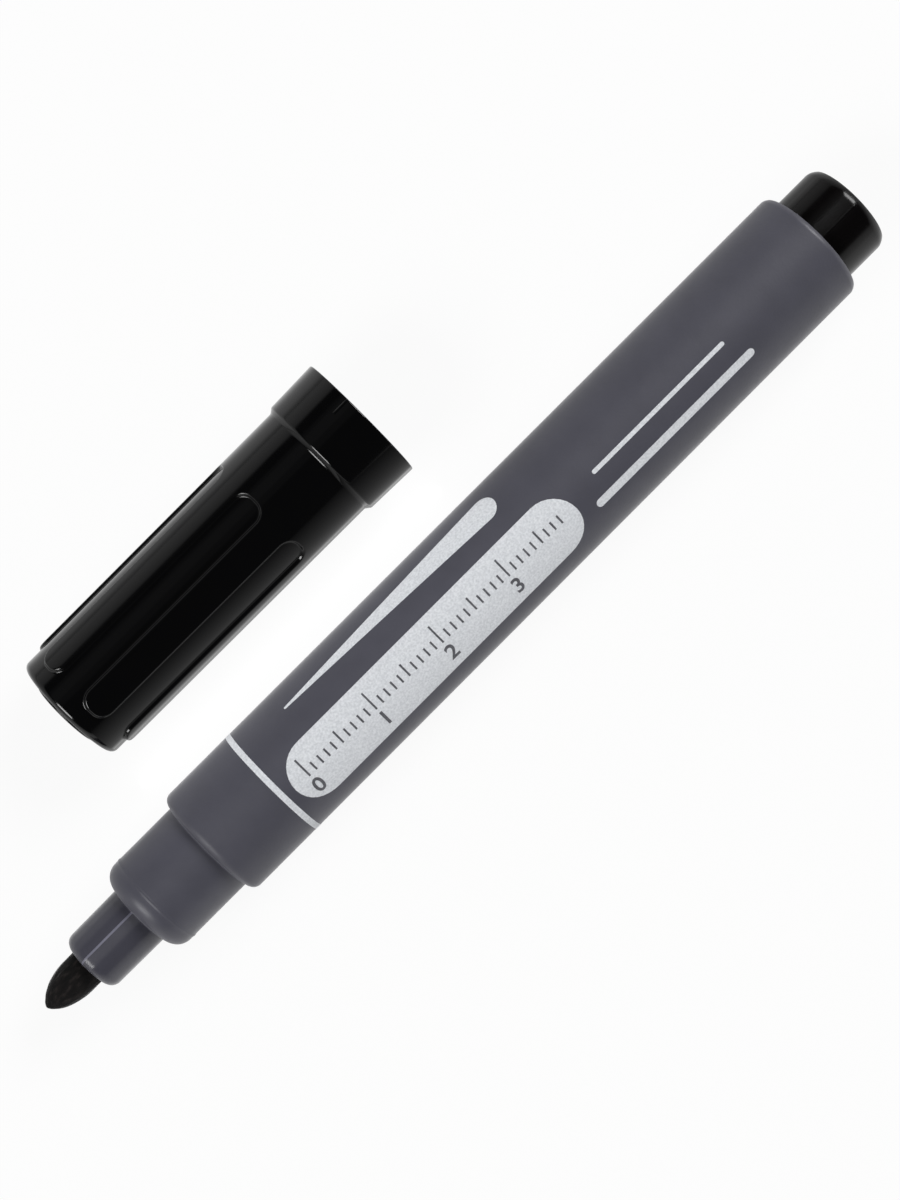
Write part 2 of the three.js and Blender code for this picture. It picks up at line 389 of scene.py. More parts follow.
def add_noise(tree, scale, detail, stretch=(1, 1, 1)):
    """A noise texture in the piece's own coordinates, in cycles per metre."""
    place = tree.nodes.new("ShaderNodeTexCoord")
    mapping = tree.nodes.new("ShaderNodeMapping")
    mapping.inputs["Scale"].default_value = stretch
    texture = tree.nodes.new("ShaderNodeTexNoise")
    texture.inputs["Scale"].default_value = scale
    texture.inputs["Detail"].default_value = detail
    tree.links.new(place.outputs["Object"], mapping.inputs["Vector"])
    tree.links.new(mapping.outputs["Vector"], texture.inputs["Vector"])
    return texture.outputs["Fac"]


def add_ramp(tree, factor, stops):
    """A colour ramp over a factor. Each stop is a place and a colour."""
    ramp = tree.nodes.new("ShaderNodeValToRGB")
    elements = ramp.color_ramp.elements
    while len(elements) < len(stops):
        elements.new(0.5)
    for element, (place, color) in zip(elements, stops):
        element.position = place
        element.color = (*color, 1)
    tree.links.new(factor, ramp.inputs["Fac"])
    return ramp.outputs["Color"]


def add_color(tree, shader, pattern, stops):
    """A base colour that follows a pattern."""
    tree.links.new(add_ramp(tree, pattern, stops), shader.inputs["Base Color"])


def add_roughness(tree, shader, scale, detail, low, high):
    """A roughness that varies between two values over the surface."""
    between = tree.nodes.new("ShaderNodeMapRange")
    between.inputs["To Min"].default_value = low
    between.inputs["To Max"].default_value = high
    tree.links.new(add_noise(tree, scale, detail), between.inputs["Value"])
    tree.links.new(between.outputs["Result"], shader.inputs["Roughness"])


def add_bump(tree, shader, pattern, distance, strength):
    """A bump that follows a pattern, as high as the distance."""
    bump = tree.nodes.new("ShaderNodeBump")
    bump.inputs["Strength"].default_value = strength
    bump.inputs["Distance"].default_value = distance
    tree.links.new(pattern, bump.inputs["Height"])
    tree.links.new(bump.outputs["Normal"], shader.inputs["Normal"])


def shade(color, factor):
    """The colour made lighter or darker by a factor."""
    return tuple(part * factor for part in color)


def grey_stops(levels):
    """The stops of a ramp without hue, from its places and levels."""
    return [(place, (level, level, level)) for place, level in levels]


def turning_marks(tree, shader, amount):
    """Spreads highlights along X, as the fine turning marks of a mould do."""
    shader.inputs["Anisotropic"].default_value = amount
    shader.inputs["Anisotropic Rotation"].default_value = 0.25
    tangent = tree.nodes.new("ShaderNodeTangent")
    tangent.direction_type = "RADIAL"
    tangent.axis = "X"
    tree.links.new(tangent.outputs["Tangent"], shader.inputs["Tangent"])


def soft_rim(shader, weight):
    """Lightens the surface where it is seen at a low angle, as a fine texture does."""
    shader.inputs["Sheen Weight"].default_value = weight
    shader.inputs["Sheen Roughness"].default_value = 0.3


def barrel_textured():
    """Grey polypropylene from a finely eroded mould."""
    material, tree, shader = new_shader("barrel_textured_plastic", BARREL_COLOR, roughness=0.5)
    soft_rim(shader, weight=0.3)
    blotches = add_noise(tree, scale=260, detail=4)
    add_color(tree, shader, blotches, [(0.3, shade(BARREL_COLOR, 0.94)), (0.7, shade(BARREL_COLOR, 1.06))])
    add_roughness(tree, shader, scale=900, detail=2, low=0.44, high=0.56)
    grain = add_noise(tree, scale=3200, detail=2)
    add_bump(tree, shader, grain, distance=0.02 * MM, strength=0.5)
    return material


def barrel_satin():
    """The same plastic where the mould is smoother, on neck, shoulder, rear rim and ribs."""
    material, tree, shader = new_shader("barrel_satin_plastic", BARREL_COLOR, roughness=0.44)
    soft_rim(shader, weight=0.3)
    blotches = add_noise(tree, scale=300, detail=4)
    add_color(tree, shader, blotches, [(0.3, shade(BARREL_COLOR, 0.98)), (0.7, shade(BARREL_COLOR, 1.08))])
    add_roughness(tree, shader, scale=700, detail=2, low=0.38, high=0.5)
    waves = add_noise(tree, scale=500, detail=3)
    add_bump(tree, shader, waves, distance=0.03 * MM, strength=0.4)
    return material


def barrel_glossy():
    """The same plastic on the glossy nozzle."""
    material, tree, shader = new_shader("barrel_glossy_plastic", shade(BARREL_COLOR, 0.84), roughness=0.24)
    soft_rim(shader, weight=0.35)
    turning_marks(tree, shader, amount=0.9)
    add_roughness(tree, shader, scale=600, detail=2, low=0.21, high=0.27)
    waves = add_noise(tree, scale=220, detail=2)
    add_bump(tree, shader, waves, distance=0.01 * MM, strength=0.4)
    return material


def barrel_pale():
    """The same plastic on the nozzle's parting line, painted lighter there as a highlight along its ridge.
    """
    material, tree, shader = new_shader("barrel_painted_highlight_plastic", shade(BARREL_COLOR, 2.4), roughness=0.4)
    streaks = add_noise(tree, scale=900, detail=2, stretch=(0.2, 1, 1))
    add_color(tree, shader, streaks, [(0.3, shade(BARREL_COLOR, 2.0)), (0.7, shade(BARREL_COLOR, 2.8))])
    return material


def cap_plastic():
    """Polished black polypropylene."""
    material, tree, shader = new_shader("cap_black_plastic", (0.0012, 0.0012, 0.0014), roughness=0.1)
    add_roughness(tree, shader, scale=350, detail=4, low=0.08, high=0.16)
    waves = add_noise(tree, scale=130, detail=1)
    add_bump(tree, shader, waves, distance=0.04 * MM, strength=0.5)
    return material


def plug_plastic():
    """Black polypropylene with fine turning marks from its mould."""
    material, tree, shader = new_shader("plug_black_plastic", (0.0021, 0.0017, 0.0018), roughness=0.19)
    turning_marks(tree, shader, amount=0.8)
    shader.inputs["Specular IOR Level"].default_value = 0.3
    add_roughness(tree, shader, scale=400, detail=3, low=0.16, high=0.22)
    waves = add_noise(tree, scale=180, detail=1)
    add_bump(tree, shader, waves, distance=0.03 * MM, strength=0.4)
    return material


def seal_plastic():
    """Softer black polyethylene of the seal cup."""
    material, tree, shader = new_shader("seal_black_plastic", (0.002, 0.002, 0.0022), roughness=0.2)
    add_roughness(tree, shader, scale=500, detail=3, low=0.16, high=0.26)
    waves = add_noise(tree, scale=250, detail=2)
    add_bump(tree, shader, waves, distance=0.02 * MM, strength=0.4)
    return material


def nib_felt():
    """Bonded fibre soaked in black ink, with its fibres along X."""
    material, tree, shader = new_shader("nib_black_felt", (0.003, 0.0027, 0.0026), roughness=0.9)
    shader.inputs["Specular IOR Level"].default_value = 0.2
    soft_rim(shader, weight=0.3)
    fibres = add_noise(tree, scale=1900, detail=3, stretch=(0.35, 1, 1))
    add_color(tree, shader, fibres, [
        (0.35, (0.0006, 0.0005, 0.0005)),
        (0.55, (0.004, 0.0032, 0.003)),
        (0.72, (0.019, 0.015, 0.014)),
    ])
    add_bump(tree, shader, fibres, distance=0.16 * MM, strength=0.9)
    return material


def filler_fibre():
    """Ink-soaked polyester fibre inside the barrel."""
    material, tree, shader = new_shader("filler_dark_fibre", (0.008, 0.008, 0.011), roughness=1.0)
    fibres = add_noise(tree, scale=1500, detail=3, stretch=(0.05, 1, 1))
    add_color(tree, shader, fibres, [(0.3, (0.004, 0.004, 0.006)), (0.7, (0.02, 0.02, 0.026))])
    add_bump(tree, shader, fibres, distance=0.1 * MM, strength=0.8)
    return material


def filler_film():
    """The thin wrapped film round the filler."""
    material, tree, shader = new_shader("filler_pale_film", (0.62, 0.66, 0.7), roughness=0.25)
    add_roughness(tree, shader, scale=300, detail=3, low=0.2, high=0.34)
    wrinkles = add_noise(tree, scale=160, detail=3, stretch=(0.2, 1, 1))
    add_bump(tree, shader, wrinkles, distance=0.05 * MM, strength=0.5)
    return material


def silver_ink():
    """Screen-printed silver ink with its fine flakes."""
    material, tree, shader = new_shader("silver_ink", (0.68, 0.7, 0.73), roughness=0.45)
    flakes = add_noise(tree, scale=4200, detail=2)
    add_color(tree, shader, flakes, [(0.3, (0.6, 0.62, 0.65)), (0.7, (0.78, 0.8, 0.83))])
    add_bump(tree, shader, flakes, distance=0.01 * MM, strength=0.5)
    return material


def dark_ink():
    """Dark screen-printed ink over the silver."""
    material, tree, shader = new_shader("dark_ink", (0.1, 0.1, 0.115), roughness=0.5)
    flakes = add_noise(tree, scale=4200, detail=2)
    add_color(tree, shader, flakes, [(0.3, (0.075, 0.075, 0.086)), (0.7, (0.13, 0.13, 0.145))])
    add_bump(tree, shader, flakes, distance=0.01 * MM, strength=0.4)
    return material


# The marker's pieces


def angles_with_line(middle, half):
    """Even angles, with closer ones at a parting line."""
    closer = [middle + half * share for share in (-1.5, -1, -0.5, 0, 0.5, 1, 1.5)]
    angles = [angle % (2 * math.pi) for angle in closer]
    for angle in even_angles(BODY_SIDES):
        if all(apart(angle, other) > LINE_CLEARANCE for other in closer):
            angles.append(angle)
    return sorted(angles)


def apart(first, second):
    """The angle between two directions."""
    return abs((first - second + math.pi) % (2 * math.pi) - math.pi)


def with_parting_line(radius, middle, half, height):
    """A radius that rises a little at a parting line."""

    def at(angle):
        share = min(apart(angle, middle) / half, 1)
        return radius + height * (1 + math.cos(math.pi * share)) / 2

    return at


def eased_edge(end_x, radius, length, depth, corner):
    """A shallow curve towards the end face at end_x, and the small round corner in which it ends."""
    tilt = math.atan(2 * depth / length)
    points = []
    for i in range(ARC_STEPS):
        part = i / ARC_STEPS
        x = end_x - corner * (1 - math.sin(tilt)) - length * (1 - part)
        points.append((x, radius - depth * part ** 2))
    middle = radius - depth - corner * math.cos(tilt)
    return points + arc(end_x - corner, middle, corner, 90 - math.degrees(tilt), 0)


def barrel_profile():
    """The outside from the nozzle to the rear rim, and back through the bores."""
    bead_x = NECK_X + BEAD_SETBACK
    bore_x = SHOULDER_X + SHOULDER_WALL
    bead = []
    for i in range(ARC_STEPS + 1):
        rise = (1 - math.cos(2 * math.pi * i / ARC_STEPS)) / 2
        bead.append((bead_x + BEAD_WIDTH * i / ARC_STEPS, NECK_RADIUS + BEAD_HEIGHT * rise))
    nozzle = arc(NOZZLE_X + NOZZLE_FILLET, NOZZLE_RADIUS - NOZZLE_FILLET, NOZZLE_FILLET, 180, 90)
    return supported([
        (NOZZLE_X, NOZZLE_BORE),
        *nozzle,
        (NECK_X - INNER_CORNER, NOZZLE_ROOT),
        (NECK_X, NOZZLE_ROOT + INNER_CORNER),
        *arc(NECK_X + NECK_FILLET, NECK_RADIUS - NECK_FILLET, NECK_FILLET, 180, 90, 2 * ARC_STEPS),
        *bead,
        (SHOULDER_X - INNER_CORNER, NECK_RADIUS),
        (SHOULDER_X, NECK_RADIUS + INNER_CORNER),
        *arc(SHOULDER_X + SHOULDER_FILLET, BODY_RADIUS - SHOULDER_FILLET, SHOULDER_FILLET, 180, 90),
        *eased_edge(REAR_X, BODY_RADIUS, REAR_RIM_LENGTH, REAR_RIM_DEPTH, REAR_RIM_CORNER),
        (REAR_X, BARREL_BORE),
        (bore_x, BARREL_BORE),
        (bore_x, NECK_BORE),
        (NECK_X + NECK_FRONT_WALL, NECK_BORE),
        (NECK_X + NECK_FRONT_WALL, NOZZLE_BORE),
    ])


TEXTURED, SATIN, GLOSSY, PAINTED_HIGHLIGHT = range(4)


def barrel_finish(place):
    """Which finish the barrel has at a place on its surface."""
    if place.x < NECK_X:
        angle = math.atan2(MARKER_Y - place.y, place.z - MARKER_Z)
        # The middle of the nozzle's parting line takes the lighter colour, a painted highlight.
        on_line = apart(angle, PARTING_ANGLE) < PARTING_HIGHLIGHT_SHARE * PARTING_HALF_ANGLE
        return PAINTED_HIGHLIGHT if on_line else GLOSSY
    if place.x < SHOULDER_X + SHOULDER_FILLET / 2 or place.x > REAR_X - REAR_RIM_LENGTH:
        return SATIN
    return TEXTURED


def make_barrel():
    """The one moulding of barrel, neck and nozzle."""
    profile = []
    for x, r in barrel_profile():
        on_nozzle = x <= NECK_X - INNER_CORNER and r > NOZZLE_RADIUS - NOZZLE_FILLET
        line = with_parting_line(r, PARTING_ANGLE, PARTING_HALF_ANGLE, PARTING_HEIGHT)
        profile.append((x, line if on_nozzle else r))
    angles = angles_with_line(PARTING_ANGLE, PARTING_HALF_ANGLE)
    mesh = turned_mesh("barrel_body", MARKER, profile, angles)
    finishes = [barrel_textured(), barrel_satin(), barrel_glossy(), barrel_pale()]
    add_piece(mesh, "marker", finishes, replaced=["barrel"])
    for face in mesh.polygons:
        face.material_index = barrel_finish(face.center)


def make_ribs():
    """Ribs on the bore's wall that hold the filler, each a slim bar with a slanted rear end."""
    start_x = SHOULDER_X + SHOULDER_WALL - RIB_ROOT
    end_x = SHOULDER_X + SHOULDER_WALL + RIB_LENGTH
    half = RIB_THICKNESS / 2
    outer = BARREL_BORE + RIB_ROOT
    corners = [
        (start_x, NECK_BORE),
        (start_x, outer),
        (end_x, outer),
        (end_x - outer + NECK_BORE, NECK_BORE),
    ]
    shape = bmesh.new()
    for angle in even_angles(RIB_COUNT):
        across = Matrix.Rotation(angle, 3, "X")
        sides = []
        for side in (-half, half):
            places = [MARKER.origin + across @ Vector((x, side, r)) for x, r in corners]
            sides.append([shape.verts.new(place) for place in places])
        shape.faces.new(sides[0])
        shape.faces.new(reversed(sides[1]))
        for i in range(len(corners)):
            k = (i + 1) % len(corners)
            shape.faces.new([sides[0][k], sides[0][i], sides[1][i], sides[1][k]])
    bmesh.ops.recalc_face_normals(shape, faces=shape.faces)
    bmesh.ops.bevel(shape, geom=shape.edges[:], offset=RIB_BEVEL, segments=2, affect="EDGES")
    mesh = bpy.data.meshes.new("barrel_ribs")
    shape.to_mesh(mesh)
    shape.free()
    add_piece(mesh, "marker", [barrel_satin()])


def make_plug():
    """The rear plug, a cup with its closed end outside.

    Its closed end isn't flat: the supports of the profile's closing stretch cut a ring into it."""
    cup = PLUG_RADIUS - PLUG_WALL
    profile = supported([
        (PLUG_END_X - PLUG_END_WALL, cup),
        (PLUG_FRONT_X, cup),
        (PLUG_FRONT_X, PLUG_RADIUS - INNER_CORNER),
        (PLUG_FRONT_X + INNER_CORNER, PLUG_RADIUS),
        *eased_edge(PLUG_END_X, PLUG_RADIUS, PLUG_EDGE_LENGTH, PLUG_EDGE_DEPTH, PLUG_EDGE_CORNER),
    ])
    profile = [(PLUG_END_X - PLUG_END_WALL, 0), *profile, (PLUG_END_X, 0)]
    for i, (x, r) in enumerate(profile):
        if REAR_X < x < PLUG_END_X - PLUG_EDGE_LENGTH and r > cup:
            line = with_parting_line(r, PLUG_LINE_ANGLE, PLUG_LINE_HALF_ANGLE, PLUG_LINE_HEIGHT)
            profile[i] = (x, line)
    angles = angles_with_line(PLUG_LINE_ANGLE, PLUG_LINE_HALF_ANGLE)
    mesh = turned_mesh("plug_body", MARKER, profile, angles)
    add_piece(mesh, "marker", [plug_plastic()], replaced=["rear_plug"])


def nib_profile():
    """The bullet tip as a smooth curve, and the straight rod behind it."""
    corners = [
        Vector((TIP_X, 0)),
        Vector((TIP_X, NIB_BLUNTNESS)),
        Vector((TIP_X + NIB_SHOULDER, NIB_RADIUS)),
        Vector((TIP_X + NIB_TAPER, NIB_RADIUS)),
    ]
    points = []
    for i in range(NIB_STEPS + 1):
        t = i / NIB_STEPS
        weights = ((1 - t) ** 3, 3 * t * (1 - t) ** 2, 3 * t * t * (1 - t), t ** 3)
        points.append(tuple(sum((w * c for w, c in zip(weights, corners)), Vector((0, 0)))))
    straight = NOZZLE_X - TIP_X - NIB_TAPER
    points += [(NOZZLE_X - straight * share, NIB_RADIUS) for share in (0.6, 0.2, -0.2, -0.6)]
    points.append((NIB_END_X - NIB_CHAMFER, NIB_RADIUS))
    points.append((NIB_END_X, NIB_RADIUS - NIB_CHAMFER))
    points.append((NIB_END_X, 0))
    return points


def make_nib():
    """The felt nib, whose surface is roughened inwards along its fibres."""
    mesh = turned_mesh("nib_felt", MARKER, nib_profile(), even_angles(NIB_SIDES))
    for vertex in mesh.vertices:
        radial = Vector((0, vertex.co.y - MARKER_Y, vertex.co.z - MARKER_Z))
        if radial.length < NIB_BLUNTNESS / 2:
            continue
        x, y, z = vertex.co
        place = Vector((x * FIBRES_ALONG, y * FIBRES_ACROSS, z * FIBRES_ACROSS))
        depth = FIBRE_DEPTH * max(0.0, noise.noise(place) + FIBRE_SHIFT)
        vertex.co -= radial.normalized() * depth
    add_piece(mesh, "marker", [nib_felt()], sharp_angle=80, replaced=["nib"])


# The cap's pieces


def wall_points():
    """Half of the wall between groove and tongue: distance from its middle, and height from its middle."""
    points = []
    straight = GROOVE_DEPTH / 2 - WALL_FILLET * (1 - math.cos(WALL_SLOPE))
    reach = straight / math.tan(WALL_SLOPE)
    for i in range(ARC_STEPS + 1):
        turn = WALL_SLOPE * (1 - i / ARC_STEPS)
        along = reach + WALL_FILLET * (math.sin(WALL_SLOPE) - math.sin(turn))
        height = straight + WALL_FILLET * (math.cos(turn) - math.cos(WALL_SLOPE))
        points.append((along, height))
    return points


WALL = wall_points()
WALL_REACH = WALL[-1][0]


def wall_height(distance):
    """The surface's height over the groove's floor, by its distance from the wall's middle."""
    along = abs(distance)
    if along >= WALL_REACH:
        return GROOVE_DEPTH if distance > 0 else 0
    before = (0, 0)
    for point in WALL:
        if along <= point[0]:
            break
        before = point
    share = (along - before[0]) / (point[0] - before[0])
    height = before[1] + (point[1] - before[1]) * share
    return GROOVE_DEPTH / 2 + math.copysign(height, distance)


def tongue_distance(x, angle):
    """How far a point is inside the raised level. Outside it, the distance is negative."""
    radius = BAND_FOOT - BAND_STEP
    turn = (angle - FIRST_TONGUE + TONGUE_PITCH / 2) % TONGUE_PITCH - TONGUE_PITCH / 2
    inside = (TONGUE_PITCH / 4 - abs(turn)) * radius
    if x < GROOVE_LENGTH / 2:
        return corner_distance(x - TONGUE_SETBACK, inside)
    return -corner_distance(GROOVE_LENGTH - x, -inside)


def corner_distance(from_end, from_side):
    """The distance inside a tongue or a groove, whose end has rounded corners."""
    if from_end < TONGUE_CORNER and from_side < TONGUE_CORNER:
        return TONGUE_CORNER - math.hypot(TONGUE_CORNER - from_end, TONGUE_CORNER - from_side)
    return min(from_end, from_side)


def raised_radius(x):
    """The radius of the tongues, which falls a little towards the closed end."""
    return BAND_FOOT - BAND_STEP - (BAND_X - x) * CAP_DRAFT


def cap_surface(x):
    """The radius at x along the cap as a function of the angle."""
    low = raised_radius(x) - GROOVE_DEPTH
    return lambda angle: low + wall_height(tongue_distance(x, angle))


def spread(start, end, step):
    """Places from start to end, evenly spaced at about the given step."""
    count = max(1, round((end - start) / step))
    return [start + (end - start) * i / count for i in range(count + 1)]


def cap_angles():
    """Angles round the cap, closer together at the walls of the tongues."""
    radius = BAND_FOOT - BAND_STEP
    near = WALL_MARGIN * WALL_REACH / radius
    half_pitch = TONGUE_PITCH / 2
    angles = []
    for i in range(2 * TONGUE_COUNT):
        wall = FIRST_TONGUE + TONGUE_PITCH / 4 + i * half_pitch
        angles += spread(wall - near, wall + near, WALL_STEP / radius)[:-1]
        angles += spread(wall + near, wall + half_pitch - near, LEVEL_STEP / radius)[:-1]
    return sorted(angle % (2 * math.pi) for angle in angles)


def cap_stations():
    """Places along the ribbed length, closer together at the ends of tongues and grooves."""
    tongue_start = TONGUE_SETBACK - TONGUE_END_MARGIN * WALL_REACH
    tongue_end = TONGUE_SETBACK + TONGUE_CORNER + WALL_REACH
    groove_start = GROOVE_LENGTH - TONGUE_CORNER - WALL_REACH
    groove_end = GROOVE_LENGTH + TONGUE_END_MARGIN * WALL_REACH
    stations = spread(CAP_END_FILLET, tongue_start, CAP_END_STEP)[1:-1]
    stations += spread(tongue_start, tongue_end, TONGUE_END_STEP)[:-1]
    stations += spread(tongue_end, groove_start, TONGUE_STEP)[:-1]
    stations += spread(groove_start, groove_end, TONGUE_END_STEP)
    return stations


def make_cap():
    """The cap with its tongues and grooves outside, and its bores inside."""
    groove_start = raised_radius(CAP_END_FILLET) - GROOVE_DEPTH - CAP_END_FILLET
    band_start = raised_radius(BAND_X)
    outside = [
        *arc(CAP_END_FILLET, groove_start, CAP_END_FILLET, 180, 90),
        *[(x, cap_surface(x)) for x in cap_stations()],
        (BAND_X - BAND_EDGE - SUPPORT, raised_radius(BAND_X - BAND_EDGE - SUPPORT)),
        (BAND_X - BAND_EDGE, raised_radius(BAND_X - BAND_EDGE)),
        (BAND_X, band_start + BAND_EDGE / 3),
        (BAND_X + BAND_CHAMFER - BAND_EDGE, BAND_FOOT - BAND_EDGE),
        (BAND_X + BAND_CHAMFER - BAND_EDGE / 3, BAND_FOOT - BAND_EDGE / 3),
        (BAND_X + BAND_CHAMFER + BAND_EDGE, BAND_FOOT),
        (BAND_X + BAND_CHAMFER + BAND_EDGE + SUPPORT, BAND_FOOT + SUPPORT * BAND_DRAFT),
        *arc(CAP_LENGTH - MOUTH_FILLET, BAND_RADIUS - MOUTH_FILLET, MOUTH_FILLET, 90, 0),
    ]
    inside = supported([
        (CAP_LENGTH, SKIRT_BORE + INNER_CORNER),
        (CAP_LENGTH - INNER_CORNER, SKIRT_BORE),
        (BAND_X, SKIRT_BORE),
        (BAND_X, CAP_BORE + INNER_CORNER),
        (BAND_X - INNER_CORNER, CAP_BORE),
        (CAP_END_WALL, CAP_BORE),
        (CAP_END_WALL, BOSS_HOLE),
        (0, BOSS_HOLE),
    ], closed=False)
    mesh = turned_mesh("cap_body", CAP, [*outside, *inside], cap_angles())
    add_piece(mesh, "cap", [cap_plastic()], sharp_angle=50, replaced=["cap_shell"])


def make_cap_seal():
    """The seal cup, whose boss closes the hole in the cap's end."""
    profile = supported([
        (-BOSS_HEIGHT, BOSS_RADIUS - BOSS_CHAMFER),
        (-BOSS_HEIGHT + BOSS_CHAMFER / 3, BOSS_RADIUS - BOSS_CHAMFER / 3),
        (-BOSS_HEIGHT + BOSS_CHAMFER, BOSS_RADIUS),
        (SEAL_FLANGE_X, BOSS_RADIUS),
        (SEAL_FLANGE_X, SEAL_RADIUS),
        (SEAL_LIP_X - SEAL_LIP_CHAMFER, SEAL_RADIUS),
        (SEAL_LIP_X, SEAL_RADIUS - SEAL_LIP_CHAMFER),
        (SEAL_LIP_X, SEAL_BORE),
        (SEAL_FLANGE_X + SEAL_FLOOR, SEAL_BORE),
    ], closed=False)
    profile = [(-BOSS_HEIGHT, 0), *profile, (SEAL_FLANGE_X + SEAL_FLOOR, 0)]
    mesh = turned_mesh("cap_seal_cup", CAP, profile, even_angles(BODY_SIDES))
    add_piece(mesh, "cap", [seal_plastic()], replaced=["cap_seal"])


def mark_fade(step):
    """How much of its full height the mould mark has at a step along it, less towards both ends."""
    fade = 1
    for from_end in (step, MOULD_MARK_STEPS - step):
        fade *= math.sin(math.pi * min(1, (from_end + 0.5) / MOULD_MARK_FADE_STEPS) / 2)
    return fade


def make_mould_mark():
    """The small raised mark on the band, a rounded bar that ends at the mouth."""
    end_x = CAP_LENGTH - MOUTH_FILLET
    start_x = end_x - MOULD_MARK_LENGTH
    half_angle = MOULD_MARK_WIDTH / 2 / BAND_RADIUS
    shape = bmesh.new()
    rows = []
    for i in range(MOULD_MARK_STEPS + 1):
        x = start_x + (end_x - start_x) * i / MOULD_MARK_STEPS
        surface = BAND_RADIUS - (CAP_LENGTH - x) * BAND_DRAFT
        row = []
        for k in range(ARC_STEPS + 1):
            share = 2 * k / ARC_STEPS - 1
            height = MOULD_MARK_HEIGHT * mark_fade(i) * math.cos(math.pi * share / 2)
            angle = MOULD_MARK_ANGLE + half_angle * share
            row.append(shape.verts.new(CAP.point(x, surface + height, angle)))
        for share in (1, -1):
            angle = MOULD_MARK_ANGLE + half_angle * share
            row.append(shape.verts.new(CAP.point(x, surface - MOULD_MARK_HEIGHT, angle)))
        rows.append(row)
    for row, following in zip(rows, rows[1:]):
        for k in range(len(row)):
            j = (k + 1) % len(row)
            shape.faces.new([row[k], row[j], following[j], following[k]])
    shape.faces.new(rows[0])
    shape.faces.new(rows[-1])
    bmesh.ops.recalc_face_normals(shape, faces=shape.faces)
    mesh = bpy.data.meshes.new("cap_mould_mark")
    shape.to_mesh(mesh)
    shape.free()
    add_piece(mesh, "cap", [cap_plastic()])


# Print


def wrapped_ink(name, flat, material, layer):
    """Wraps flat shapes round the barrel as a thin closed skin. Each layer lies on the one below it."""
    heights = [vertex.co.y for vertex in flat.verts]
    for height in spread(min(heights), max(heights), WRAP_STEP)[1:-1]:
        everything = flat.verts[:] + flat.edges[:] + flat.faces[:]
        bmesh.ops.bisect_plane(flat, geom=everything, plane_co=(0, height, 0), plane_no=(0, 1, 0))
    extruded = bmesh.ops.extrude_face_region(flat, geom=flat.faces[:], use_keep_orig=True)
    raised = {item for item in extruded["geom"] if isinstance(item, bmesh.types.BMVert)}
    outer = BARREL_RADIUS + (layer - 1) * INK
    for vertex in flat.verts:
        radius = outer if vertex in raised else outer - 2 * INK
        vertex.co = MARKER.point(vertex.co.x, radius, -vertex.co.y / BARREL_RADIUS)
    bmesh.ops.recalc_face_normals(flat, faces=flat.faces)
    mesh = bpy.data.meshes.new(name)
    flat.to_mesh(mesh)
    flat.free()
    add_piece(mesh, "marker", [material])


def flat_shapes(outlines):
    """A bmesh with one flat face for each outline."""
    flat = bmesh.new()
    for outline in outlines:
        flat.faces.new([flat.verts.new((x, y, 0)) for x, y in outline])
    return flat


def bar(start_x, end_x, low, high):
    """The outline of an upright rectangle."""
    return [(start_x, low), (end_x, low), (end_x, high), (start_x, high)]


def rounded_bar(start_x, end_x, middle, start_half, end_half):
    """The outline of a bar with round ends, as thick at each end as given."""
    start = arc(start_x + start_half, middle, start_half, 270, 90, 2 * ARC_STEPS)
    end = arc(end_x - end_half, middle, end_half, 90, -90, 2 * ARC_STEPS)
    return start + end


def make_ring_print():
    """The pale line round the barrel behind its shoulder."""
    half = RING_WIDTH / 2
    profile = [
        (RING_X - half, BODY_RADIUS - INK),
        (RING_X - half, BARREL_RADIUS),
        (RING_X + half, BARREL_RADIUS),
        (RING_X + half, BODY_RADIUS - INK),
    ]
    mesh = turned_mesh("print_ring", MARKER, profile, even_angles(BODY_SIDES))
    add_piece(mesh, "marker", [silver_ink()])


def digit_shapes(flat, digit, middle_x, low):
    """Adds a plain digit with its foot at the given height."""
    curve = bpy.data.curves.new("digit", "FONT")
    curve.body = digit
    curve.align_x = "CENTER"
    curve.offset = DIGIT_BOLDNESS
    text = bpy.data.objects.new("digit", curve)
    bpy.context.collection.objects.link(text)
    bpy.context.view_layer.update()
    mesh = bpy.data.meshes.new_from_object(text.evaluated_get(bpy.context.evaluated_depsgraph_get()))
    top = max(vertex.co.y for vertex in mesh.vertices)
    foot = min(vertex.co.y for vertex in mesh.vertices)
    scale = DIGIT_HEIGHT / (top - foot)
    mesh.transform(Matrix.Translation((middle_x, low - foot * scale, 0)) @ Matrix.Scale(scale, 4))
    flat.from_mesh(mesh)
    bpy.data.objects.remove(text)
    bpy.data.meshes.remove(mesh)
    bpy.data.curves.remove(curve)


def make_label():
    """The silver label with a plain ruler, in place of the lettering on the real one."""
    label = rounded_bar(LABEL_START_X, LABEL_END_X, LABEL_HEIGHT, LABEL_HALF_WIDTH, LABEL_HALF_WIDTH)
    wrapped_ink("print_label", flat_shapes([label]), silver_ink(), 1)
    ticks = []
    for millimetre in range(RULER_MILLIMETRES + 1):
        length = TICK_LONG if millimetre % 10 == 0 else TICK_MIDDLE if millimetre % 5 == 0 else TICK_SHORT
        x = RULER_START_X + millimetre * MM
        ticks.append(bar(x - TICK_WIDTH / 2, x + TICK_WIDTH / 2, LABEL_HEIGHT, LABEL_HEIGHT + length))
    ruler = flat_shapes(ticks)
    for centimetre in range(RULER_MILLIMETRES // 10 + 1):
        x = RULER_START_X + centimetre * 10 * MM
        digit_shapes(ruler, str(centimetre), x, LABEL_HEIGHT - DIGIT_DROP - DIGIT_HEIGHT)
    wrapped_ink("print_ruler", ruler, dark_ink(), 2)


